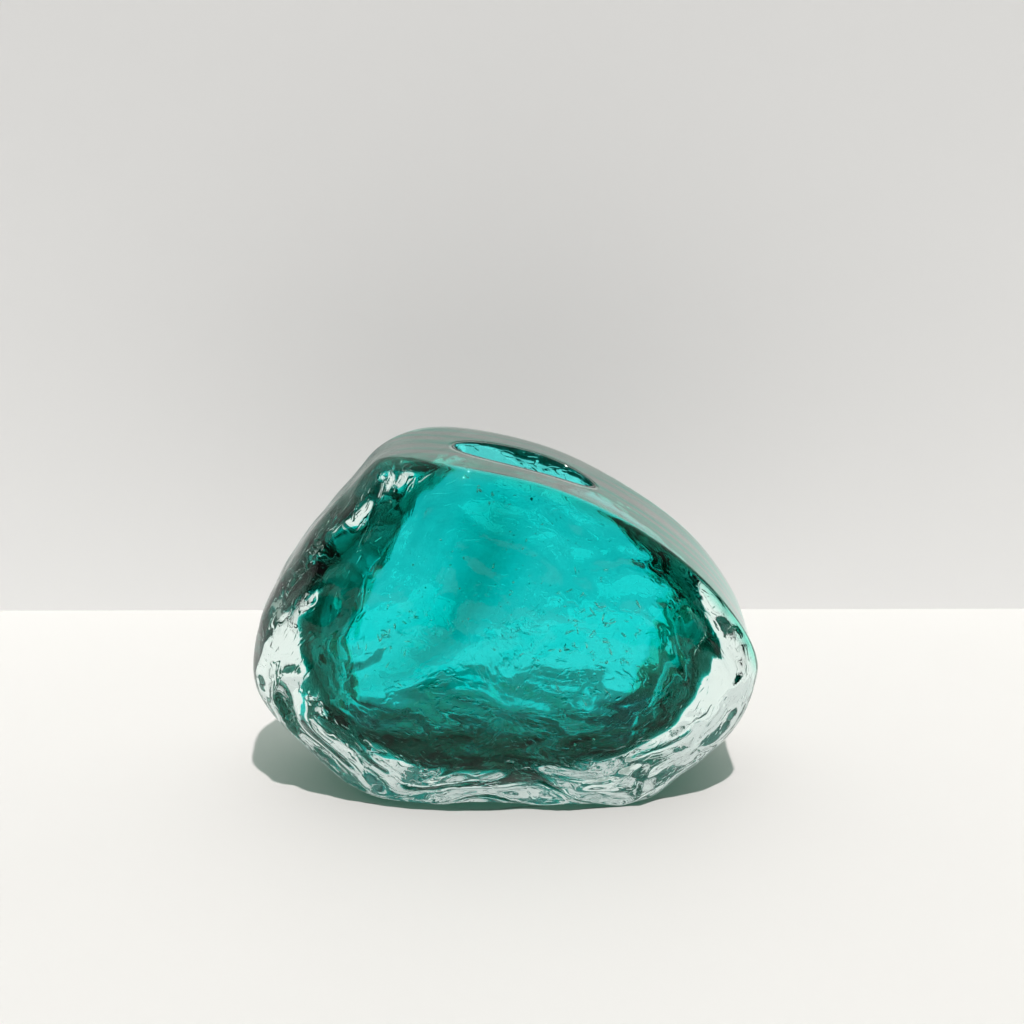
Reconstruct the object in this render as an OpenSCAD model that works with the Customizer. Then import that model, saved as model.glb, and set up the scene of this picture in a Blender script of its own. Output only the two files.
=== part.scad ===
// Cased art glass vase: a turquoise bubble inside a thick boulder of clear glass.
// The origin is at the centre of the base. +X runs to the right, the front faces -Y and +Z is up.

/* [Body] */
// Width from left to right
width = 260; // [200:1:320]
// Height from the base to the crown
height = 180; // [140:1:220]
// Depth from front to back
depth = 134; // [112:1:160]
// How far the front and back swell in and out of a smooth curve
swell = 1.5; // [0:0.1:3]

/* [Mouth and lining] */
// Length of the mouth along the cut ribbon
mouth_l = 74; // [56:1:90]
// Width of the mouth from front to back
mouth_w = 35; // [26:1:44]
// Thickness of the turquoise layer
lining_t = 1.5; // [1:0.1:3]
// Depth of the fold in the front of the bubble
fold_d = 4; // [0:0.5:6]

/* [Fineness] */
// Segments between two outline points
steps = 6; // [4:1:7]
// Rows across the front, and across the back
face_rows = 11; // [8:1:12]
// Rings down the inside of the bubble
bubble_rings = 21; // [14:1:24]

/* [Hidden] */

// The sizes that the tables below are drawn at, which the Body sizes stretch
DRAWN = [260, 134, 180];
stretch_x = width / DRAWN.x;
stretch_y = depth / DRAWN.y;
stretch_z = height / DRAWN.z;

// The widest outline, seen from the front: x, z, half the width of the rim that runs along it,
// and how soft the rim's edges are, from 0 for the cut ribbon's sharp edge to 1 for a round one
OUTLINE = [
    [-30, 180, 35, 0],
    [22, 169, 37, 0],
    [66, 147, 35, 0],
    [102, 118, 36, 0],
    [126, 84, 33, 0.15],
    [129, 61, 29, 0.45],
    [121, 36, 25, 0.7],
    [100, 13, 22, 0.9],
    [69, -5, 26, 1],
    [0, -6, 27, 1],
    [-62, -4, 24, 1],
    [-101, 18, 13, 1],
    [-128, 52, 10, 1],
    [-125, 88, 7, 1],
    [-104, 127, 7, 1],
    [-81, 156, 8, 0.8],
    [-61, 177, 15, 0.3],
];
rim_rows = 4;
face_centre = [4, 62];
// Exponents of the section: how flat the faces are, and how round a soft edge is
FLATNESS = 2.3;
ROUNDNESS = 1.2;

// The bubble's rings from the mouth down: x and z of the left end, x and z of the right end,
// half the depth, and how square the ring is. The first ring takes its heights from the ribbon.
MOUTH_X = 11;
BUBBLE = [
    [-26, 179, 48, 156, 17.5, 2.1],
    [-28, 169, 51, 148, 18, 2.1],
    [-46, 153, 68, 135, 21, 2.2],
    [-71, 131, 89, 112, 26, 2.4],
    [-89, 104, 100, 89, 30, 2.6],
    [-97, 75, 102, 66, 32, 2.7],
    [-93, 47, 94, 43, 31, 2.6],
    [-75, 25, 74, 25, 24, 2.4],
    [-42, 15, 42, 15, 15, 2.2],
    [-10, 13, 10, 13, 4, 2],
];
BUBBLE_FLOOR = [0, 13];

function catmull(a, b, c, d, t) =
    0.5 * (2 * b + (c - a) * t + (2 * a - 5 * b + 4 * c - d) * t * t
        + (3 * b - a - 3 * c + d) * t * t * t);

// ---- The outline and the rim that runs along it ----

function closed_curve(table, n) = [
    for (i = [0 : len(table) - 1], j = [0 : n - 1])
        let (m = len(table))
            catmull(table[(i + m - 1) % m], table[i], table[(i + 1) % m],
                table[(i + 2) % m], j / n)
];
function fitted(curve) =
    let (xs = [for (p = curve) p[0]], x0 = min(xs), x1 = max(xs), top = max([for (p = curve) p[1]]))
        [for (p = curve) [
            (p[0] - (x0 + x1) / 2) * width / (x1 - x0),
            p[1] * height / top,
            p[2] * stretch_y,
            p[3],
        ]];
rim = fitted(closed_curve(OUTLINE, steps));
around = len(rim);

// Height of the cut ribbon over x, along the stretch that holds the mouth
RIBBON_FROM = -1;
RIBBON_TO = 3;
ribbon = [for (i = [RIBBON_FROM * steps : RIBBON_TO * steps]) rim[(i + around) % around]];
function ribbon_z(x) = lookup(x, [for (p = ribbon) [p[0], p[1]]]);

// ---- The outer skin: rows from the middle of the back, over the rim, to the middle of the front ----

rows = 2 * face_rows + 2 * rim_rows;
function swelling(x, z, side) =
    swell * (sin(x * 2.3 + side * 40) * cos(z * 2.9 + 30) + 0.6 * sin(x * 1.1 - z * 3.7 + side * 80));
function face_point(p, a, side) =
    let (
        r = pow(max(cos(a), 0), 2 / FLATNESS),
        h = pow(sin(a), 2 / (1 + ROUNDNESS * p[3])),
        x = face_centre.x * stretch_x * (1 - r) + p[0] * r,
        z = face_centre.y * stretch_z * (1 - r) + p[1] * r
    )
        [x, side * (p[2] + (depth / 2 - p[2]) * h - swell * h + swelling(x, z, side) * h * h), z];
function skin_point(i, v) =
    v < face_rows ? face_point(rim[i], 90 * (1 - v / face_rows), 1)
    : v > rows - face_rows ? face_point(rim[i], 90 * (1 - (rows - v) / face_rows), -1)
    : [rim[i][0], rim[i][2] * (face_rows + rim_rows - v) / rim_rows, rim[i][1]];
function skin_index(i, v) =
    v == 0 ? 0 : v == rows ? 1 : 2 + (v - 1) * around + (i + around) % around;
skin = [
    skin_point(0, 0),
    skin_point(0, rows),
    for (v = [1 : rows - 1], i = [0 : around - 1]) skin_point(i, v),
];

// Half the difference between how far the front and the back stand out, taken off every point so
// that the origin is in the middle
mid_y = (max([for (p = skin) p.y]) + min([for (p = skin) p.y])) / 2;

// The patch of ribbon round the mouth is left out of the skin, and its border is walked once round
patch_from = -floor(steps / 2);
patch_to = 2 * steps;
function in_patch(i, v) =
    let (k = i > around / 2 ? i - around : i)
        k >= patch_from && k < patch_to && v >= face_rows && v < rows - face_rows;
border = [
    for (i = [patch_to : -1 : patch_from + 1]) [i, face_rows],
    for (v = [face_rows : rows - face_rows - 1]) [patch_from, v],
    for (i = [patch_from : patch_to - 1]) [i, rows - face_rows],
    for (v = [rows - face_rows : -1 : face_rows + 1]) [patch_to, v],
];
ring_n = len(border);
skin_faces = [
    for (v = [0 : rows - 1], i = [0 : around - 1])
        if (!in_patch(i, v))
            let (
                a = skin_index(i, v), b = skin_index(i + 1, v),
                c = skin_index(i + 1, v + 1), d = skin_index(i, v + 1)
            )
                each v == 0 ? [[a, c, d]] : v == rows - 1 ? [[a, b, c]] : [[a, b, c], [a, c, d]]
];

// ---- The bubble, whose outside is the casing's hollow and whose inside is the cavity ----

function table_at(t) =
    let (m = len(BUBBLE) - 1, i = min(floor(t * m), m - 1), f = t * m - i)
        catmull(BUBBLE[max(i - 1, 0)], BUBBLE[i], BUBBLE[i + 1], BUBBLE[min(i + 2, m)], f);
function unit(v) = v / norm(v);
// The outward normal of the right-hand profile where it runs down from a to b
function outwards(a, b) = unit([a.y - b.y, b.x - a.x]);
function angle_at(j) =
    let (p = skin[skin_index(border[j][0], border[j][1])])
        atan2(p.y / mouth_w, (p.x - MOUTH_X * stretch_x) / mouth_l);
function power_of(v, n) = sign(v) * pow(abs(v), 2 / n);

// The fold in the bubble's front, which curves to the left on its way down
function fold_x(z) = let (down = 170 - z) (-14 - 0.2 * down - 3.5 * pow(down / 58, 4)) * stretch_x;
function fold(x, z) =
    fold_d * exp(-pow((x - fold_x(z / stretch_z)) / 12, 2)) * exp(-pow((z / stretch_z - 110) / 50, 4));

function mouth_point(j, grow) =
    let (a = angle_at(j), x = MOUTH_X * stretch_x + (mouth_l / 2 + grow) * power_of(cos(a), 2.1))
        [x, (mouth_w / 2 + grow) * power_of(sin(a), 2.1), ribbon_z(x)];
function ring_point(j, t, grow) =
    let (
        now = table_at(t), next = table_at(min(t + 0.01, 1)), before = table_at(max(t - 0.01, 0)),
        left_out = -outwards([before[0], before[1]], [next[0], next[1]]),
        right_out = outwards([before[2], before[3]], [next[2], next[3]]),
        left = [now[0] * stretch_x, now[1] * stretch_z] + grow * left_out,
        right = [now[2] * stretch_x, now[3] * stretch_z] + grow * right_out,
        a = angle_at(j),
        s = (1 + power_of(cos(a), now[5])) / 2,
        x = left.x + (right.x - left.x) * s,
        z = left.y + (right.y - left.y) * s,
        y = (now[4] * stretch_y + grow) * power_of(sin(a), now[5])
    )
        [x, y < 0 ? y + fold(x, z) * min(1, -y / 10) : y, z];
function bubble_points(grow) = [
    for (j = [0 : ring_n - 1]) mouth_point(j, grow),
    for (k = [1 : bubble_rings], j = [0 : ring_n - 1]) ring_point(j, k / bubble_rings, grow),
    [BUBBLE_FLOOR.x * stretch_x, 0, BUBBLE_FLOOR.y * stretch_z - grow],
];
// Faces between two rings of ring_n points, and from the last ring to one closing point. They
// look into the bubble, and flipped they look away from it.
function band_faces(first, second, flip = false) = [
    for (j = [0 : ring_n - 1])
        let (k = (j + 1) % ring_n, a = first + j, b = first + k, c = second + k, d = second + j)
            each flip ? [[a, b, c], [a, c, d]] : [[a, c, b], [a, d, c]]
];
function closing_faces(first, last, flip = false) = [
    for (j = [0 : ring_n - 1])
        let (k = (j + 1) % ring_n) flip ? [first + j, first + k, last] : [first + j, last, first + k]
];
function bubble_faces(start, flip = false) = [
    for (k = [0 : bubble_rings - 1])
        each band_faces(start + k * ring_n, start + (k + 1) * ring_n, flip),
    each closing_faces(start + bubble_rings * ring_n, start + (bubble_rings + 1) * ring_n, flip),
];

// The rings of the patch, from the border in to the mouth, which all lie on the ribbon
PATCH_RINGS = 3;
function patch_point(j, f) =
    let (
        from = skin[skin_index(border[j][0], border[j][1])],
        to = mouth_point(j, lining_t),
        x = from.x + (to.x - from.x) * f
    )
        [x, from.y + (to.y - from.y) * f, ribbon_z(x)];
patch = [
    for (r = [1 : PATCH_RINGS - 1], j = [0 : ring_n - 1]) patch_point(j, r / PATCH_RINGS)
];
patch_start = len(skin);
hollow_start = patch_start + len(patch);
border_faces = [
    for (j = [0 : ring_n - 1])
        let (
            k = (j + 1) % ring_n,
            a = skin_index(border[j][0], border[j][1]), b = skin_index(border[k][0], border[k][1])
        )
            each [[a, patch_start + k, b], [a, patch_start + j, patch_start + k]]
];

module clear_casing() {
    color([0.86, 0.93, 0.91, 0.5])
        difference() {
            translate([0, -mid_y, 0]) polyhedron(
                concat(skin, patch, bubble_points(lining_t)),
                concat(
                    skin_faces,
                    border_faces,
                    [for (r = [0 : PATCH_RINGS - 2])
                        each band_faces(patch_start + r * ring_n, patch_start + (r + 1) * ring_n)],
                    bubble_faces(hollow_start)
                ),
                convexity = 6
            );
            // The ground base
            translate([-width, -depth, -height])
                cube([2 * width, 2 * depth, height]);
        }
}

module turquoise_lining() {
    inner_start = ring_n * (bubble_rings + 1) + 1;
    color([0.05, 0.72, 0.72])
        translate([0, -mid_y, 0]) polyhedron(
            concat(bubble_points(lining_t), bubble_points(0)),
            concat(
                bubble_faces(0, true),
                band_faces(0, inner_start),
                bubble_faces(inner_start)
            ),
            convexity = 6
        );
}

clear_casing();
turquoise_lining();
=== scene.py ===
"""A cased art glass vase: a turquoise bubble inside a thick boulder of clear glass.

Both gathers are rebuilt at fine resolution on the same curves as the CAD solids, with the
ripples, the fold and the seed bubbles that hot working leaves in the glass.
"""

import math

import bmesh
import bpy
import numpy as np
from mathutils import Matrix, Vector


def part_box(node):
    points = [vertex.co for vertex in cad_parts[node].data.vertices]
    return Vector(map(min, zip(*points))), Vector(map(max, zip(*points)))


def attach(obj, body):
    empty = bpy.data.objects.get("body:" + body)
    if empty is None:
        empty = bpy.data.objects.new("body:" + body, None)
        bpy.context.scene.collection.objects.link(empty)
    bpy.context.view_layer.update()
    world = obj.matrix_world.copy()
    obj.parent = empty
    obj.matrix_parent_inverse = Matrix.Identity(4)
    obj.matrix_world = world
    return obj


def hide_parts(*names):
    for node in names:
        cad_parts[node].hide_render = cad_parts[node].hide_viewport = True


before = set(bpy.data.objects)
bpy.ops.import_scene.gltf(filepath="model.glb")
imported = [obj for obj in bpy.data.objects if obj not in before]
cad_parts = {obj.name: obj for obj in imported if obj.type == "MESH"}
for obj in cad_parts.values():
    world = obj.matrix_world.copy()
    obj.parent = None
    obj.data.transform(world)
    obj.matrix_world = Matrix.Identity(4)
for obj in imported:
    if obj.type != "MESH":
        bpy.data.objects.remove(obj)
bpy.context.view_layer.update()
low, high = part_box("clear_casing")
SIZE = Vector(high) - Vector(low)
MM = 0.001

# The tables below are drawn in millimetres at this size, and stretched to the frame's
DRAWN = Vector((260, 134, 180))
STRETCH = Vector([SIZE[i] / (DRAWN[i] * MM) for i in range(3)])
SWELL = 1.5

# The widest outline seen from the front: x, z, half the rim's width, and how soft its edges are
OUTLINE = np.array([
    (-30, 180, 35, 0),
    (22, 169, 37, 0),
    (66, 147, 35, 0),
    (102, 118, 36, 0),
    (126, 84, 33, 0.15),
    (129, 61, 29, 0.45),
    (121, 36, 25, 0.7),
    (100, 13, 22, 0.9),
    (69, -5, 26, 1),
    (0, -6, 27, 1),
    (-62, -4, 24, 1),
    (-101, 18, 13, 1),
    (-128, 52, 10, 1),
    (-125, 88, 7, 1),
    (-104, 127, 7, 1),
    (-81, 156, 8, 0.8),
    (-61, 177, 15, 0.3),
], float)
# The faces' middle (x and z), how flat they are there, and how round a soft edge is
FACE_CENTRE = (4, 62)
FLATNESS = 2.3
ROUNDNESS = 1.2

# The bubble's rings from the mouth down: left x and z, right x and z, half depth, squareness
BUBBLE = np.array([
    (-26, 179, 48, 156, 17.5, 2.1),
    (-28, 169, 51, 148, 18, 2.1),
    (-46, 153, 68, 135, 21, 2.2),
    (-71, 131, 89, 112, 26, 2.4),
    (-89, 104, 100, 89, 30, 2.6),
    (-97, 75, 102, 66, 32, 2.7),
    (-93, 47, 94, 43, 31, 2.6),
    (-75, 25, 74, 25, 24, 2.4),
    (-42, 15, 42, 15, 15, 2.2),
    (-10, 13, 10, 13, 4, 2),
], float)
BUBBLE_FLOOR = (0, 13)
MOUTH_X, MOUTH_L, MOUTH_W, MOUTH_SQUARE = 11, 74, 35, 2.1
LINING_T = 1.5

# The fold in the bubble's front: how deep and wide it is, the heights it covers, and its
# middle line, which starts at an x below the mouth, leans left and then curls
FOLD_DEPTH = 5
FOLD_WIDTH = 12
FOLD_MIDDLE_Z, FOLD_REACH = 110, 50
FOLD_TOP_X, FOLD_TOP_Z = -14, 170
FOLD_LEAN, FOLD_CURL, FOLD_CURL_DROP = 0.2, 3.5, 58
FOLD_FRONT = 10
# How much thicker the turquoise is beside the fold, how far beside it, and at the bubble's ends
FOLD_COLOUR = 5
FOLD_COLOUR_SHIFT = 15
DEEP_COLOUR = 7.5
# The glasses stay this far apart, so that their faces never share a place
BOND_GAP = 0.03

# Waves of the relief: their height in mm, their wavelength in mm and the noise's seed
SKIN_BROAD = ((0.8, 76, 11), (0.5, 34, 12))
BUBBLE_WAVES = ((0.6, 44, 21), (0.3, (30, 22, 12), 22))
BUBBLE_CREASE = (2.4, (64, 40, 26), 26)
BUBBLE_CREASE_LEVEL = 0.35
BUBBLE_POOLED = (3.5, (70, 50, 50), 24)
BUBBLE_LOBE = (0.6, 18, 25)
BUBBLE_FINE = (0.08, 8, 23)
COLOUR_WAVES = (0.22, 30, 31)
COLOUR_EDGES = ((0.07, (16, 30, 34), 32), (0.04, (6, 12, 15), 33))
# Waves that grow on the flanks: wavelength and seed, then height on the faces and added height
SKIN_CREASES, CREASE_HEIGHTS, CREASE_LEVEL = ((90, 90, 38), 53), (0.3, 5), 0.4
SKIN_HAMMER, HAMMER_HEIGHTS = (26, 13), (0.2, 0.6)
SKIN_STREAKS, STREAK_HEIGHTS = ((40, 40, 13), 15), (0.12, 0.15)

# Where each share of the relief comes in or goes out, in mm. The flank is the band just inside
# the rim, and the calm part is the back of the neck, which shows through the mouth.
FLANK_IN, FLANK_OUT = (0, 14), (24, 60)
CALM_Y, CALM_Z, CALM_X, CALMING = (0, 20), (100, 140), (-60, -25), 0.85
LOW_DOWN_Z, POOLED_Z = (40, 100), (14, 40)
LOBE_X, LOBE_Z, LOBE_R = -60, 80, 30
MOUTH_FADE = (0.02, 0.25)
# The colour's ends, as shares of the bubble's half length, and its bottom, in mm; these also place
# the painted shade
ENDS_IN = (0.76, 1.02)
ENDS_WIDER_LOW_RIGHT, LOW_RIGHT_X, LOW_RIGHT_Z = 0.1, (20, 80), (40, 80)
BOTTOM_SHARE, BOTTOM_Z, BOTTOM_RAGGED = 0.38, (18, 48), 90
# The sharp edges stay crisp where the outline's softness and the distance inward are small
CRISP_SOFTNESS, CRISP_INWARD = (0.15, 0.45), (0.5, 7)

# Seeds of gas in the clear glass: the loose ones, with their size, their length in sizes, and
# how near the skin they lie as a share of its depth
SCATTERED_SEEDS = 70
SEED_SIZE, SEED_LENGTH = (0.2, 0.7), (1, 2)
SEED_OUT, UNDER_SKIN = (0.2, 0.93), (0.86, 0.95)
SEED_MIN_Z = 8
# Swarms by the bubble's front: how many, x and z of the middle, spreads, size and length
SWARM_GAP, SWARM_VARIETY, BUBBLE_FRONT_Y = (1.5, 5), (0.6, 1.4), -5
SEED_SWARMS = (
    (60, 2, 122, 20, 16, 0.35, 1.3),
    (70, 46, 86, 20, 15, 0.32, 5),
    (25, -50, 84, 12, 12, 0.3, 6),
    (12, -8, 160, 10, 4, 0.5, 2),
)

# Fineness of the meshes
STEPS = 32
RIM_ROWS = 36
PATCH_RINGS = 10
BUBBLE_RINGS = 110
GRID = len(OUTLINE) * STEPS // 4


# ---- Curves and noise ----

def catmull(a, b, c, d, t):
    """The point at t between b and c on the smooth curve through a, b, c and d."""
    return 0.5 * (2 * b + (c - a) * t + (2 * a - 5 * b + 4 * c - d) * t ** 2
                  + (3 * b - a - 3 * c + d) * t ** 3)


def closed_curve(table, steps):
    """A closed smooth curve through the rows of a table."""
    rows = [np.roll(table, k, 0) for k in (1, 0, -1, -2)]
    t = np.arange(steps)[None, :, None] / steps
    return catmull(*[r[:, None, :] for r in rows], t).reshape(-1, table.shape[1])


def open_curve(table, t):
    """Rows of a smooth curve through a table, where t runs from 0 to 1."""
    t = np.clip(t, 0, 1)
    last = len(table) - 1
    i = np.minimum((t * last).astype(int), last - 1)
    f = (t * last - i)[:, None]
    return catmull(table[np.maximum(i - 1, 0)], table[i], table[i + 1],
                   table[np.minimum(i + 2, last)], f)


def smooth(x, low_end, high_end):
    """0 below low_end, 1 above high_end, and smooth between."""
    t = np.clip((x - low_end) / (high_end - low_end), 0, 1)
    return t * t * (3 - 2 * t)


def power_of(v, n):
    return np.sign(v) * np.abs(v) ** (2 / n)


def noise(points, wavelength, seed):
    """Gradient noise between about -1 and 1 at each point."""
    rng = np.random.default_rng(seed)
    shuffled = np.tile(rng.permutation(256), 2)
    slopes = rng.normal(size=(256, 3))
    slopes /= np.linalg.norm(slopes, axis=1, keepdims=True)
    p = points / (np.asarray(wavelength, float) / 2) + rng.uniform(0, 200, 3)
    cell = np.floor(p).astype(int)
    f = p - cell
    ease = f ** 3 * (f * (f * 6 - 15) + 10)
    total = np.zeros(len(p))
    for corner in np.ndindex(2, 2, 2):
        c = np.array(corner)
        x, y, z = ((cell + c) % 256).T
        key = shuffled[(shuffled[(shuffled[x] + y) % 256] + z) % 256]
        share = np.prod(np.where(c, ease, 1 - ease), axis=1)
        total += share * np.einsum("ij,ij->i", slopes[key], f - c)
    return total * 1.6


def waves(points, table):
    """The sum of a table's waves at each point."""
    return sum(height * noise(points, length, seed) for height, length, seed in table)


def creases(points, length, seed, level):
    """Ridges up to level high with sharp valleys between them."""
    return level - np.abs(noise(points, length, seed))


# ---- The outer skin ----

def fitted_rim():
    """The outline at full fineness, fitted to the frame's width and height."""
    rim = closed_curve(OUTLINE, STEPS)
    x0, x1, top = rim[:, 0].min(), rim[:, 0].max(), rim[:, 1].max()
    rim[:, 0] = (rim[:, 0] - (x0 + x1) / 2) * SIZE.x / MM / (x1 - x0)
    rim[:, 1] *= SIZE.z / MM / top
    rim[:, 2] *= STRETCH.y
    return rim


RIM = fitted_rim()
AROUND = len(RIM)
RIM_LENGTH = np.concatenate([[0], np.cumsum(np.linalg.norm(
    np.diff(RIM[:, :2], axis=0, append=RIM[:1, :2]), axis=1))])


def rim_at(m):
    """Rows of the rim at fractional places m along it."""
    i = np.floor(m).astype(int)
    f = (m - i)[:, None]
    return RIM[i % AROUND] * (1 - f) + RIM[(i + 1) % AROUND] * f


def swelling(x, z, side):
    deg = np.radians
    return SWELL * (np.sin(deg(x * 2.3 + side * 40)) * np.cos(deg(z * 2.9 + 30))
                    + 0.6 * np.sin(deg(x * 1.1 - z * 3.7 + side * 80)))


def face_points(m, t, side):
    """Points on the front (side -1) or the back, with t from 0 at the rim to 1 in the middle."""
    row = rim_at(m)
    soft = np.clip(row[:, 3], 0, 1)
    r = (1 - soft) * (1 - t) + soft * np.cos(t * math.pi / 2) ** (2 / FLATNESS)
    h = np.clip(1 - r ** FLATNESS, 0, 1) ** (1 / (1 + ROUNDNESS * soft))
    x = FACE_CENTRE[0] * STRETCH.x * (1 - r) + row[:, 0] * r
    z = FACE_CENTRE[1] * STRETCH.z * (1 - r) + row[:, 1] * r
    half = DRAWN.y * STRETCH.y / 2
    y = side * (row[:, 2] + (half - row[:, 2]) * h - SWELL * h + swelling(x, z, side) * h * h)
    return np.stack([x, y, z], 1)


def square_grid():
    """For each node of a square grid, its place along the rim and its depth t inside it."""
    a, b = np.meshgrid(np.linspace(-1, 1, GRID + 1), np.linspace(-1, 1, GRID + 1), indexing="ij")
    a, b = a.ravel(), b.ravel()
    rho = np.maximum(np.abs(a), np.abs(b))
    safe = np.where(rho > 0, rho, 1)
    right, top, left = a >= rho - 1e-9, b >= rho - 1e-9, a <= -rho + 1e-9
    m = np.where(right, (b / safe + 1) / 2,
                 np.where(top, 1 + (1 - a / safe) / 2,
                          np.where(left, 2 + (1 - b / safe) / 2, 3 + (a / safe + 1) / 2)))
    return (m * GRID) % AROUND, 1 - rho


# The stretch of ribbon round the mouth, where the skin's rows give way to rings
PATCH_FROM = -STEPS // 2
PATCH_TO = 2 * STEPS


def in_patch(i):
    k = i - AROUND if i > AROUND // 2 else i
    return PATCH_FROM <= k < PATCH_TO


def flow_at(along, across):
    """Seamless coordinates that run along the rim (two of them) and across it, in mm."""
    turn = 2 * math.pi * along / RIM_LENGTH[-1]
    radius = RIM_LENGTH[-1] / (2 * math.pi)
    return np.stack([radius * np.cos(turn), radius * np.sin(turn), across], 1)


def skin_mesh():
    """The outer skin's points, quads, softness, flow coordinates and distance from the rim."""
    width = np.linspace(1, -1, RIM_ROWS + 1)
    points = [np.stack([
        np.repeat(RIM[None, :, 0], RIM_ROWS + 1, 0),
        width[:, None] * RIM[None, :, 2],
        np.repeat(RIM[None, :, 1], RIM_ROWS + 1, 0),
    ], 2).reshape(-1, 3)]
    along = [np.tile(RIM_LENGTH[:-1], RIM_ROWS + 1)]
    inward = [np.zeros(len(points[0]))]
    across = [points[0][:, 1]]
    soft = [np.tile(RIM[:, 3], RIM_ROWS + 1)]
    quads = []
    for v in range(RIM_ROWS):
        for i in range(AROUND):
            if not in_patch(i):
                j = (i + 1) % AROUND
                quads.append((v * AROUND + i, (v + 1) * AROUND + i,
                              (v + 1) * AROUND + j, v * AROUND + j))
    start = len(points[0])
    m, t = square_grid()
    inner = t > 1e-9
    for side, row in ((1, 0), (-1, RIM_ROWS)):
        index = np.empty(len(t), int)
        index[~inner] = row * AROUND + np.round(m[~inner]).astype(int) % AROUND
        index[inner] = start + np.arange(inner.sum())
        points.append(face_points(m[inner], t[inner], side))
        rows = rim_at(m[inner])
        along.append(np.interp(m[inner], np.arange(AROUND + 1), RIM_LENGTH))
        inward.append(np.linalg.norm(rows[:, :2] - points[-1][:, ::2], axis=1))
        across.append(side * (rows[:, 2] + inward[-1]))
        soft.append(rows[:, 3])
        start += inner.sum()
        index = index.reshape(GRID + 1, GRID + 1)
        corners = (index[:-1, :-1], index[1:, :-1], index[1:, 1:], index[:-1, 1:])
        if side < 0:
            corners = corners[::-1]
        quads += list(zip(*[c.ravel().tolist() for c in corners]))
    flow = flow_at(np.concatenate(along), np.concatenate(across))
    return (np.concatenate(points), quads, np.clip(np.concatenate(soft), 0, 1), flow,
            np.concatenate(inward))


def patch_border():
    """Indices of the skin points round the patch, once round."""
    walk = [(i, 0) for i in range(PATCH_TO, PATCH_FROM, -1)]
    walk += [(PATCH_FROM, v) for v in range(RIM_ROWS)]
    walk += [(i, RIM_ROWS) for i in range(PATCH_FROM, PATCH_TO)]
    walk += [(PATCH_TO, v) for v in range(RIM_ROWS, 0, -1)]
    return np.array([v * AROUND + i % AROUND for i, v in walk])


def ribbon_z(x):
    """Height of the cut ribbon over x."""
    stretch = np.arange(-STEPS, 3 * STEPS + 1) % AROUND
    return np.interp(x, RIM[stretch, 0], RIM[stretch, 1])


# ---- The bubble ----

def fold(points, shift=0):
    """How far into the leaning fold in the bubble's front each point lies, from 0 to 1."""
    x, y, z = points[:, 0] / STRETCH.x, points[:, 1], points[:, 2] / STRETCH.z
    down = FOLD_TOP_Z - z
    middle = FOLD_TOP_X - FOLD_LEAN * down - FOLD_CURL * (down / FOLD_CURL_DROP) ** 4 + shift
    across = np.exp(-((x - middle) / FOLD_WIDTH) ** 2)
    along = np.exp(-((z - FOLD_MIDDLE_Z) / FOLD_REACH) ** 4)
    return across * along * np.clip(-y / FOLD_FRONT, 0, 1)


def mouth_ring(angles, grow):
    x = MOUTH_X * STRETCH.x + (MOUTH_L / 2 + grow) * power_of(np.cos(angles), MOUTH_SQUARE)
    y = (MOUTH_W / 2 + grow) * power_of(np.sin(angles), MOUTH_SQUARE)
    return np.stack([x, y, ribbon_z(x)], 1)


def outwards(a, b):
    """The outward normals of the right-hand profile where it runs down from a to b."""
    n = np.stack([a[:, 1] - b[:, 1], b[:, 0] - a[:, 0]], 1)
    return n / np.linalg.norm(n, axis=1, keepdims=True)


def bubble_points(angles, grow):
    """Rings of the bubble from the mouth down, then its closing point."""
    t = np.arange(1, BUBBLE_RINGS + 1) / BUBBLE_RINGS
    now, after, before = (open_curve(BUBBLE, t + d) for d in (0, 0.01, -0.01))
    stretch = np.array([STRETCH.x, STRETCH.z])
    left = now[:, 0:2] * stretch - grow * outwards(before[:, 0:2], after[:, 0:2])
    right = now[:, 2:4] * stretch + grow * outwards(before[:, 2:4], after[:, 2:4])
    n = now[:, 5:6]
    share = ((1 + power_of(np.cos(angles)[None, :], n)) / 2)[:, :, None]
    ends = left[:, None, :] * (1 - share) + right[:, None, :] * share
    y = (now[:, 4:5] * STRETCH.y + grow) * power_of(np.sin(angles)[None, :], n)
    rings = np.stack([ends[:, :, 0], y, ends[:, :, 1]], 2).reshape(-1, 3)
    rings[:, 1] += FOLD_DEPTH * fold(rings)
    floor = (BUBBLE_FLOOR[0] * STRETCH.x, 0, BUBBLE_FLOOR[1] * STRETCH.z - grow)
    return np.concatenate([mouth_ring(angles, grow), rings, [floor]])


def ring_quads(first, second, n):
    k = np.arange(n)
    j = (k + 1) % n
    return np.stack([first + k, first + j, second + j, second + k], 1).tolist()


def bubble_faces(start, n):
    """Faces that look into the bubble, from its mouth ring down to its closing point."""
    faces = []
    for k in range(BUBBLE_RINGS):
        faces += ring_quads(start + k * n, start + (k + 1) * n, n)
    last = start + BUBBLE_RINGS * n
    faces += [(last + j, last + (j + 1) % n, last + n) for j in range(n)]
    return faces


# ---- Meshes and their relief ----

def normals_of(points, faces):
    mesh = bpy.data.meshes.new("scratch")
    mesh.from_pydata(points.tolist(), [], [tuple(f) for f in faces])
    normals = np.empty(len(points) * 3, np.float32)
    mesh.vertex_normals.foreach_get("vector", normals)
    bpy.data.meshes.remove(mesh)
    return normals.reshape(-1, 3).astype(float)


def growing(heights, flank):
    """A height that grows from the faces to the flanks."""
    return heights[0] + heights[1] * flank


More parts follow.
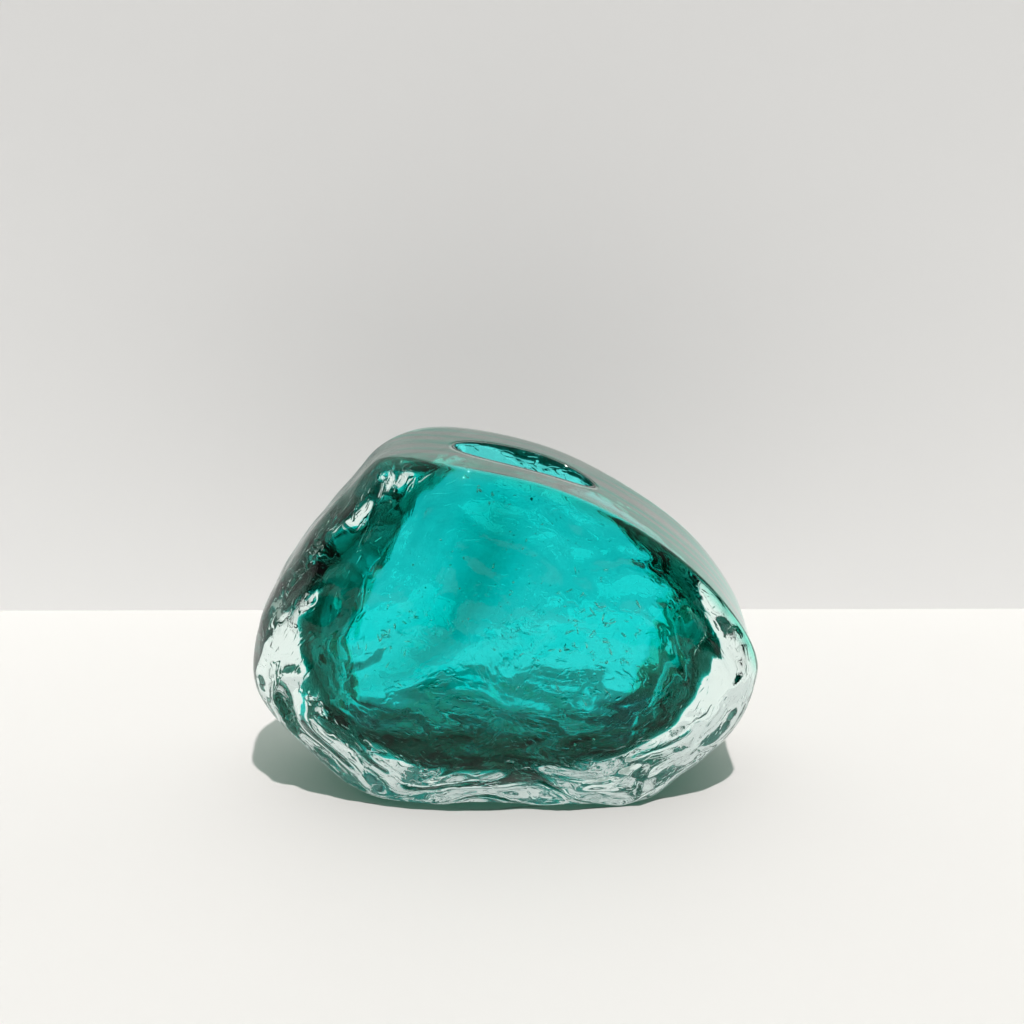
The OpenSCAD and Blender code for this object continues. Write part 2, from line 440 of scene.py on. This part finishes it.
def skin_relief(points, flow, inward):
    """How far hot shaping pushed each point of the skin out or in, in millimetres."""
    calm = smooth(points[:, 1], *CALM_Y) * smooth(points[:, 2], *CALM_Z)
    calm *= smooth(points[:, 0], *CALM_X)
    flank = smooth(inward, *FLANK_IN) * (1 - smooth(inward, *FLANK_OUT)) * (1 - CALMING * calm)
    creased = growing(CREASE_HEIGHTS, flank) * creases(flow, *SKIN_CREASES, CREASE_LEVEL)
    hammer = growing(HAMMER_HEIGHTS, flank) * noise(points, *SKIN_HAMMER)
    streaks = growing(STREAK_HEIGHTS, flank) * noise(flow, *SKIN_STREAKS)
    return waves(points, SKIN_BROAD) + creased + hammer + streaks


def bubble_relief(points):
    """Waves in the bubble's wall, strongest low down where the glass pooled."""
    x, z = points[:, 0], points[:, 2]
    low_down = 1 - smooth(z, *LOW_DOWN_Z)
    pooled = 1 - smooth(z, *POOLED_Z)
    lobe = np.exp(-((x - LOBE_X) / LOBE_R) ** 2 - ((z - LOBE_Z) / LOBE_R) ** 2)
    height, length, seed = BUBBLE_CREASE
    creased = height * low_down * creases(points, length, seed, BUBBLE_CREASE_LEVEL)
    relief = waves(points, BUBBLE_WAVES) + creased
    relief += pooled * waves(points, [BUBBLE_POOLED]) + lobe * waves(points, [BUBBLE_LOBE])
    return relief + waves(points, [BUBBLE_FINE])


def deep_share(points):
    """How far the turquoise's colour deepens at each point, from 0 in the bubble's middle to 1 at
    its ends.

    The colour gathers where the bubble turns: at its ends, under its shoulders and low down. The
    same share also places the turquoise glass's painted shade.
    """
    x, z = points[:, 0] / STRETCH.x, points[:, 2] / STRETCH.z
    rings = np.linspace(0, 1, 200)
    rows = open_curve(BUBBLE, rings)
    height = (rows[:, 1] + rows[:, 3]) / 2
    tilt = (rows[:, 3] - rows[:, 1]) / (rows[:, 2] - rows[:, 0])
    level = z - np.interp(z, height[::-1], tilt[::-1]) * x
    left = np.interp(level, height[::-1], rows[::-1, 0])
    right = np.interp(level, height[::-1], rows[::-1, 2])
    share = np.abs(2 * (x - left) / (right - left) - 1)
    ragged = waves(points, COLOUR_EDGES)
    low_right = smooth(x, *LOW_RIGHT_X) * (1 - smooth(z, *LOW_RIGHT_Z))
    ragged += ENDS_WIDER_LOW_RIGHT * low_right
    ends = smooth(share + ragged, *ENDS_IN)
    bottom = BOTTOM_SHARE * (1 - smooth(z + BOTTOM_RAGGED * ragged, *BOTTOM_Z))
    return np.maximum(ends, bottom)


def ring_fade(n):
    """0 at the mouth ring, 1 a little below it, for the mouth ring and every ring under it."""
    k = np.arange(BUBBLE_RINGS + 1) / BUBBLE_RINGS
    return np.append(np.repeat(smooth(k, *MOUTH_FADE), n), 1.0)


def set_attribute(mesh, name, kind, domain, values):
    layer = mesh.attributes.new(name, kind, domain)
    key = "value" if kind == "FLOAT" else "vector"
    layer.data.foreach_set(key, np.asarray(values, np.float32).ravel())


def make_object(name, points, faces, material, bond_flags, floats=None, vectors=None):
    """A smooth mesh whose bond attribute is 1 on the faces fused to the other glass."""
    mesh = bpy.data.meshes.new(name)
    centred = (points - (0, MIDDLE_Y, 0)) * MM
    mesh.from_pydata(centred.tolist(), [], [tuple(f) for f in faces])
    mesh.materials.append(material)
    mesh.polygons.foreach_set("use_smooth", np.ones(len(faces), bool))
    set_attribute(mesh, "bond", "FLOAT", "FACE", bond_flags)
    for key, values in (floats or {}).items():
        set_attribute(mesh, key, "FLOAT", "POINT", values)
    for key, values in (vectors or {}).items():
        set_attribute(mesh, key, "FLOAT_VECTOR", "POINT", values)
    ob = bpy.data.objects.new(name, mesh)
    bpy.context.scene.collection.objects.link(ob)
    return ob


def flatten_base(ob):
    """Cut the mesh at the ground and close it with one flat face."""
    bm = bmesh.new()
    bm.from_mesh(ob.data)
    cut = bmesh.ops.bisect_plane(
        bm, geom=bm.verts[:] + bm.edges[:] + bm.faces[:], dist=1e-6,
        plane_co=(0, 0, 0), plane_no=(0, 0, -1), clear_outer=True)
    edges = [e for e in cut["geom_cut"] if isinstance(e, bmesh.types.BMEdge)]
    made = bmesh.ops.contextual_create(bm, geom=edges)["faces"]
    for e in edges:
        e.smooth = False
    for f in made:
        f.smooth = False
        if f.normal.z > 0:
            f.normal_flip()
    bm.to_mesh(ob.data)
    bm.free()


def seed_bubbles(start, bond):
    """Tiny bubbles trapped in the clear glass: points, and faces numbered from start.

    The loose ones lie under the skin, and the swarms lie just outside the bonded surface.
    """
    rng = np.random.default_rng(5)
    sphere = bmesh.new()
    bmesh.ops.create_icosphere(sphere, subdivisions=2, radius=1)
    ball = np.array([v.co[:] for v in sphere.verts])
    ball_faces = np.array([[v.index for v in f.verts][::-1] for f in sphere.faces])
    sphere.free()
    points, faces = [], []

    def add(place, size, length):
        turn = rng.uniform(0, math.pi)
        along = np.array([math.cos(turn), 0, math.sin(turn)])
        shape = ball * size
        shape = shape + np.outer(shape @ along, along) * (length - 1)
        faces.append(ball_faces + start + len(ball) * len(points))
        points.append(shape + place)

    for _ in range(SCATTERED_SEEDS):
        angle, out = rng.uniform(0, 2 * math.pi), rng.uniform(*SEED_OUT)
        side = rng.choice((-1, 1))
        m = np.array([(angle / (2 * math.pi)) * AROUND])
        place = face_points(m, np.array([1 - out]), side)[0]
        place[1] *= rng.uniform(*UNDER_SKIN)
        size, length = rng.uniform(*SEED_SIZE), rng.uniform(*SEED_LENGTH)
        if place[2] > SEED_MIN_Z:
            add(place, size, length)
    front = bond[bond[:, 1] < BUBBLE_FRONT_Y]
    for count, x, z, spread_x, spread_z, size, length in SEED_SWARMS:
        for _ in range(count):
            at = np.array([rng.normal(x, spread_x), rng.normal(z, spread_z)])
            wall = front[np.argmin(np.sum((front[:, ::2] - at) ** 2, axis=1))]
            place = wall - (0, rng.uniform(*SWARM_GAP), 0)
            add(place, size * rng.uniform(*SWARM_VARIETY), length * rng.uniform(*SWARM_VARIETY))
    return np.concatenate(points), np.concatenate(faces).tolist()


def build_casing(bond):
    """The clear casing: skin, polished patch, hollow and seeds in one mesh."""
    skin, faces, soft, flow, inward = skin_mesh()
    border = patch_border()
    n = len(border)
    outer_ring, mouth = skin[border], bond[:n]
    rings = []
    for k in range(1, PATCH_RINGS):
        ring = outer_ring + (mouth - outer_ring) * k / PATCH_RINGS
        ring[:, 2] = ribbon_z(ring[:, 0])
        rings.append(ring)
    start = len(skin)
    ahead = np.roll(np.arange(n), -1)
    faces += np.stack([border, border[ahead], start + ahead, start + np.arange(n)], 1).tolist()
    for k in range(PATCH_RINGS - 1):
        faces += ring_quads(start + k * n, start + (k + 1) * n, n)
    bond_flags = [0] * len(faces)
    hollow_faces = bubble_faces(start + (PATCH_RINGS - 1) * n, n)
    faces += hollow_faces
    bond_flags += [1] * len(hollow_faces)
    points = np.concatenate([skin, *rings, bond])
    crisp = 1 - smooth(soft, *CRISP_SOFTNESS)
    relief = 1 - crisp * (1 - smooth(inward, *CRISP_INWARD))
    normals = normals_of(points, faces)
    points[:start] += normals[:start] * (relief * skin_relief(skin, flow, inward))[:, None]
    seeds, seed_faces = seed_bubbles(len(points), bond)
    faces += seed_faces
    bond_flags += [0] * len(seed_faces)
    total = len(points) + len(seeds)
    amount, flows = np.zeros(total), np.zeros((total, 3))
    amount[:start] = relief
    flows[:start] = flow
    points = np.concatenate([points, seeds])
    return make_object("clear_casing_glass", points, faces, clear_glass(), bond_flags,
                       {"relief": amount}, {"flow": flows * MM})


def build_lining(outer, inner, deep_and_painted_shade, n):
    """The turquoise layer: its bonded outside, the cavity wall and the lip."""
    count = len(outer)
    # Turned over without moving each quad's diagonal, so that the casing's hollow never cuts it
    outside = [(f[0], *f[:0:-1]) for f in bubble_faces(0, n)]
    lip = ring_quads(0, count, n)
    inside = bubble_faces(count, n)
    points = np.concatenate([outer, inner])
    faces = outside + lip + inside
    bond_flags = [1] * len(outside) + [0] * (len(lip) + len(inside))
    return make_object("turquoise_lining_glass", points, faces, turquoise_glass(), bond_flags,
                       {"deep_and_painted_shade": np.concatenate([deep_and_painted_shade, deep_and_painted_shade])})


# ---- Materials ----

WHITE = (1, 1, 1, 1)
GLASS_IOR = 1.5
# The tint of the rippled skin's and the cavity's mirror images, which keeps them quiet
QUIET_SHINE = (0.4, 0.4, 0.4, 1)
# The ribbon's mirror images run in bands between these two
MINT, PALE_MINT = (0.35, 1, 0.85, 1), (0.92, 1, 0.97, 1)
CASING_TINT = (0.985, 1, 0.995, 1)
CASING_SHADOW = (0.2, 0.38, 0.32, 1)
CASING_VOLUME, CASING_DENSITY = (0.1, 0.8, 0.7, 1), 1.8
# The turquoise from the bubble's middle to its ends, and painted shade in the torn dark patches:
# near black, standing in for the dark ring that bent light shows round the bubble
CORE_TINT, ENDS_TINT = (0.9, 0.95, 1, 1), (0.45, 0.95, 0.7, 1)
PAINTED_SHADE_TINT = (0.02, 0.12, 0.06, 1)
LINING_VOLUME, LINING_DENSITY = (0, 0.94, 0.931, 1), 1400


class Nodes:
    """The emptied node tree of a material or a world, with short calls to fill and wire it."""

    def __init__(self, owner):
        self.owner = owner
        owner.use_nodes = True
        self.tree = owner.node_tree
        self.tree.nodes.clear()

    def add(self, kind, inputs=None, **settings):
        node = self.tree.nodes.new("ShaderNode" + kind)
        for key, value in settings.items():
            setattr(node, key, value)
        for key, value in (inputs or {}).items():
            if isinstance(value, bpy.types.NodeSocket):
                self.tree.links.new(value, node.inputs[key])
            else:
                node.inputs[key].default_value = value
        return node

    def mix(self, factor, first, second):
        return self.add("MixShader", {0: factor, 1: first, 2: second}).outputs[0]

    def out(self, surface, volume=None):
        inputs = {"Surface": surface}
        if volume:
            inputs["Volume"] = volume
        self.add("OutputMaterial", inputs)
        return self.owner


def clear_glass():
    """Clear glass: rippled where the relief attribute says so, polished elsewhere."""
    n = Nodes(bpy.data.materials.new("clear_glass"))
    where = n.add("TexCoord").outputs["Object"]
    amount = n.add("Attribute", attribute_name="relief").outputs["Fac"]
    flow = n.add("Attribute", attribute_name="flow").outputs["Vector"]
    stretched = n.add("VectorMath", {0: flow, 1: (0.5, 0.5, 1.3)}, operation="MULTIPLY")
    streaks = n.add("TexNoise", {"Vector": stretched.outputs[0], "Scale": 170, "Detail": 1,
                                 "Distortion": 1.2}).outputs["Fac"]
    squiggles = n.add("MapRange", {"Value": streaks, "From Min": 0.56, "From Max": 0.7}).outputs[0]
    ripples = n.add("TexNoise", {"Vector": where, "Scale": 70, "Detail": 1,
                                 "Distortion": 0.6}).outputs["Fac"]
    both = n.add("Math", {0: squiggles, 1: 0.3, 2: ripples}, operation="MULTIPLY_ADD").outputs[0]
    height = n.add("Math", {0: both, 1: amount}, operation="MULTIPLY").outputs[0]
    bump = n.add("Bump", {"Height": height, "Strength": 1, "Distance": 0.0005}).outputs[0]
    drawn_out = n.add("VectorMath", {0: where, 1: (10, 90, 10)}, operation="MULTIPLY")
    drawn = n.add("TexNoise", {"Vector": drawn_out.outputs[0], "Scale": 1, "Detail": 2,
                               "Distortion": 0.4}).outputs["Fac"]
    band = n.add("MapRange", {"Value": drawn, "From Min": 0.4, "From Max": 0.6}).outputs[0]
    mint = n.add("MixRGB", {"Fac": band, "Color1": MINT, "Color2": PALE_MINT}).outputs[0]
    rippled, polished = [n.add("BsdfPrincipled", {
        "Base Color": CASING_TINT, "Roughness": 0, "IOR": GLASS_IOR,
        "Transmission Weight": 1, "Specular Tint": shine, "Coat Weight": coat,
        "Coat Tint": mint, "Coat Roughness": 0, "Coat IOR": 1.7,
        "Normal": bump, "Coat Normal": bump}).outputs[0]
        for shine, coat in ((QUIET_SHINE, 0), (mint, 1))]
    glass = n.mix(amount, polished, rippled)
    bonded = n.add("Attribute", attribute_name="bond").outputs["Fac"]
    shadow = n.add("LightPath").outputs["Is Shadow Ray"]
    clear = n.add("BsdfTransparent", {"Color": WHITE}).outputs[0]
    dimmed = n.add("BsdfTransparent", {"Color": CASING_SHADOW}).outputs[0]
    volume = n.add("VolumeAbsorption", {"Color": CASING_VOLUME,
                                        "Density": CASING_DENSITY}).outputs[0]
    return n.out(n.mix(bonded, n.mix(shadow, glass, dimmed), clear), volume)


def turquoise_glass():
    """Turquoise glass: bent light at the cavity's wall, none at the bond, colour within, and
    painted shade in torn near-black patches where the colour is deepest.
    """
    n = Nodes(bpy.data.materials.new("turquoise_glass"))
    where = n.add("TexCoord").outputs["Object"]
    ripples = n.add("TexNoise", {"Vector": where, "Scale": 60, "Detail": 1,
                                 "Distortion": 0.8}).outputs["Fac"]
    bump = n.add("Bump", {"Height": ripples, "Strength": 1, "Distance": 0.0003}).outputs[0]
    deep_and_painted_shade = n.add("Attribute", attribute_name="deep_and_painted_shade").outputs["Fac"]
    # Painted shade: where the colour is deepest, torn near-black patches darken the glass,
    # standing in for the dark ring of bent light
    torn = n.add("TexNoise", {"Vector": where, "Scale": 55, "Detail": 3,
                              "Distortion": 1.6}).outputs["Fac"]
    edge = n.add("Math", {0: torn, 1: 1.1, 2: deep_and_painted_shade}, operation="MULTIPLY_ADD").outputs[0]
    painted_shade = n.add("MapRange", {"Value": edge, "From Min": 1.02, "From Max": 1.14}).outputs[0]
    green = n.add("MapRange", {"Value": edge, "From Min": 0.75, "From Max": 0.95}).outputs[0]
    tint = n.add("MixRGB", {"Fac": green, "Color1": CORE_TINT, "Color2": ENDS_TINT}).outputs[0]
    tint = n.add("MixRGB", {"Fac": painted_shade, "Color1": tint, "Color2": PAINTED_SHADE_TINT}).outputs[0]
    glass = n.add("BsdfPrincipled", {
        "Base Color": tint, "Roughness": 0, "IOR": GLASS_IOR,
        "Transmission Weight": 1, "Specular Tint": QUIET_SHINE,
        "Normal": bump}).outputs[0]
    through = n.add("BsdfTransparent", {"Color": WHITE}).outputs[0]
    bonded = n.add("Attribute", attribute_name="bond").outputs["Fac"]
    shadow = n.add("LightPath").outputs["Is Shadow Ray"]
    either = n.add("Math", {0: bonded, 1: shadow}, operation="MAXIMUM").outputs[0]
    volume = n.add("VolumeAbsorption", {"Color": LINING_VOLUME,
                                        "Density": LINING_DENSITY}).outputs[0]
    return n.out(n.mix(either, glass, through), volume)


def stage_material(name, colour, seen_from_behind=True):
    """Matt paint with the faint unevenness of a real board."""
    n = Nodes(bpy.data.materials.new(name))
    where = n.add("TexCoord").outputs["Object"]
    mottle = n.add("TexNoise", {"Vector": where, "Scale": 2.5, "Detail": 3}).outputs["Fac"]
    shade = n.add("MapRange", {"Value": mottle, "To Min": 0.97, "To Max": 1.02}).outputs[0]
    tint = n.add("MixRGB", {"Fac": 1, "Color1": colour, "Color2": shade},
                 blend_type="MULTIPLY").outputs[0]
    paint = n.add("BsdfPrincipled", {"Base Color": tint, "Roughness": 0.6,
                                     "Specular IOR Level": 0.25}).outputs[0]
    if seen_from_behind:
        return n.out(paint)
    through = n.add("BsdfTransparent", {"Color": WHITE}).outputs[0]
    behind = n.add("NewGeometry").outputs["Backfacing"]
    return n.out(n.mix(behind, paint, through))


# ---- The vase ----

border_count = len(patch_border())
skin_now = skin_mesh()[0]
# The solids are centred front to back, although the front and the back swell differently
MIDDLE_Y = (skin_now[:, 1].max() + skin_now[:, 1].min()) / 2
ring_at = skin_now[patch_border()]
mouth_angles = np.arctan2(ring_at[:, 1] / MOUTH_W, (ring_at[:, 0] - MOUTH_X) / MOUTH_L)
base_rings = bubble_points(mouth_angles, 0)
fade = ring_fade(border_count)
wave = bubble_relief(base_rings) * fade
inner_rings = bubble_points(mouth_angles, -LINING_T)
inward_faces = bubble_faces(0, border_count)
into = normals_of(base_rings, inward_faces)
inner_into = normals_of(inner_rings, inward_faces)
# The share of deepened colour, which also places the turquoise glass's painted shade
deep_and_painted_shade = deep_share(inner_rings) * fade
thick = waves(inner_rings, [COLOUR_WAVES])
thick += FOLD_COLOUR * fold(inner_rings, FOLD_COLOUR_SHIFT)
thick = thick * fade + DEEP_COLOUR * deep_and_painted_shade
bond_points = base_rings + into * wave[:, None]
outer_points = bond_points + into * BOND_GAP
outer_points[:border_count] = mouth_ring(mouth_angles, -BOND_GAP)
inner_points = inner_rings + inner_into * (wave + thick)[:, None]

casing = build_casing(bond_points)
flatten_base(casing)
lining = build_lining(outer_points, inner_points, deep_and_painted_shade, border_count)

for piece, node, slot in ((casing, "clear_casing", "clear_glass"),
                          (lining, "turquoise_lining", "turquoise_glass")):
    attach(piece, "root")
    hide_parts(node)


# ---- Stage, light and camera ----

def plane(name, corners, material):
    mesh = bpy.data.meshes.new(name)
    mesh.from_pydata(corners, [], [(0, 1, 2, 3)])
    mesh.materials.append(material)
    ob = bpy.data.objects.new(name, mesh)
    bpy.context.scene.collection.objects.link(ob)
    return ob


# The floor lies just under the base, so that the two never share a place
FLOOR_Z = -0.0004
WALL_Y = 0.235
WALL_TOP = 2.5
WIDE = 3
plane("floor", [(-WIDE, -WIDE, FLOOR_Z), (WIDE, -WIDE, FLOOR_Z), (WIDE, WIDE, FLOOR_Z),
                (-WIDE, WIDE, FLOOR_Z)],
      stage_material("floor_paint", (0.8, 0.795, 0.775, 1)))
wall = plane("wall", [(-WIDE, WALL_Y, FLOOR_Z), (WIDE, WALL_Y, FLOOR_Z),
                      (WIDE, WALL_Y, WALL_TOP), (-WIDE, WALL_Y, WALL_TOP)],
             stage_material("wall_paint", (0.97, 0.97, 0.97, 1), seen_from_behind=False))
wall.visible_shadow = False

SUN_DIRECTION = Vector((0.1, -0.4, 1))
sun = bpy.data.lights.new("key", "SUN")
sun.energy = 2.62
sun.angle = math.radians(1.8)
sun.color = (1.0, 0.99, 0.97)
key = bpy.data.objects.new("key", sun)
key.rotation_euler = SUN_DIRECTION.to_track_quat("Z", "Y").to_euler()
bpy.context.scene.collection.objects.link(key)


def ramp(n, source, stops):
    """Greys along a direction's part, which runs from -1 to 1, with stops of (place, grey)."""
    share = n.add("MapRange", {"Value": source, "From Min": -1}).outputs[0]
    node = n.add("ValToRGB", {"Fac": share})
    elements = node.color_ramp.elements
    while len(elements) < len(stops):
        elements.new(0.5)
    for element, (place, grey) in zip(elements, stops):
        element.position = (place + 1) / 2
        element.color = (grey, grey, grey, 1)
    return node.outputs[0]


# The room is brighter overhead and behind the vase, and an even pale grey to the camera itself
SKY_BY_HEIGHT = [(-1, 0.06), (0, 0.03), (0.35, 0.1), (0.8, 0.45), (1, 0.7)]
SKY_TO_THE_BACK = [(-1, 0.25), (-0.3, 0.55), (0.3, 1), (1, 1)]
BACKDROP = (0.8, 0.81, 0.82, 1)

n = Nodes(bpy.data.worlds.new("room"))
gaze = n.add("TexCoord").outputs["Generated"]
split = n.add("SeparateXYZ", {0: gaze})
light = n.add("MixRGB", {0: 1, 1: ramp(n, split.outputs["Z"], SKY_BY_HEIGHT),
                         2: ramp(n, split.outputs["Y"], SKY_TO_THE_BACK)},
              blend_type="MULTIPLY").outputs[0]
seen = n.add("MixRGB", {0: n.add("LightPath").outputs["Is Camera Ray"], 1: light,
                        2: BACKDROP}).outputs[0]
back = n.add("Background", {"Color": seen}).outputs[0]
n.add("OutputWorld", {"Surface": back})
bpy.context.scene.world = n.owner

scene = bpy.context.scene
scene.view_settings.view_transform = "Standard"
scene.cycles.use_denoising = True
scene.cycles.max_bounces = 32
scene.cycles.transmission_bounces = 32
scene.cycles.glossy_bounces = 16
scene.cycles.diffuse_bounces = 4
scene.cycles.transparent_max_bounces = 64
scene.cycles.sample_clamp_indirect = 6
scene.cycles.caustics_refractive = False
scene.cycles.caustics_reflective = False

# The camera stands 1 m from the target, and looks a little above and right of it
ELEVATION = math.radians(21)
FIELD_OF_VIEW = math.radians(30)
TARGET = Vector((0, 0, 0.09))
AIM_RIGHT, AIM_UP = 0.005, 0.051
back_off = Vector((0, -math.cos(ELEVATION), math.sin(ELEVATION)))
right, upwards = Vector((1, 0, 0)), Vector((0, math.sin(ELEVATION), math.cos(ELEVATION)))
camera_data = bpy.data.cameras.new("camera")
camera_data.lens_unit = "FOV"
camera_data.angle = FIELD_OF_VIEW
camera = bpy.data.objects.new("camera", camera_data)
camera.location = TARGET + back_off
aim = TARGET + right * AIM_RIGHT + upwards * AIM_UP
camera.rotation_euler = (camera.location - aim).to_track_quat("Z", "Y").to_euler()
scene.collection.objects.link(camera)
scene.camera = camera
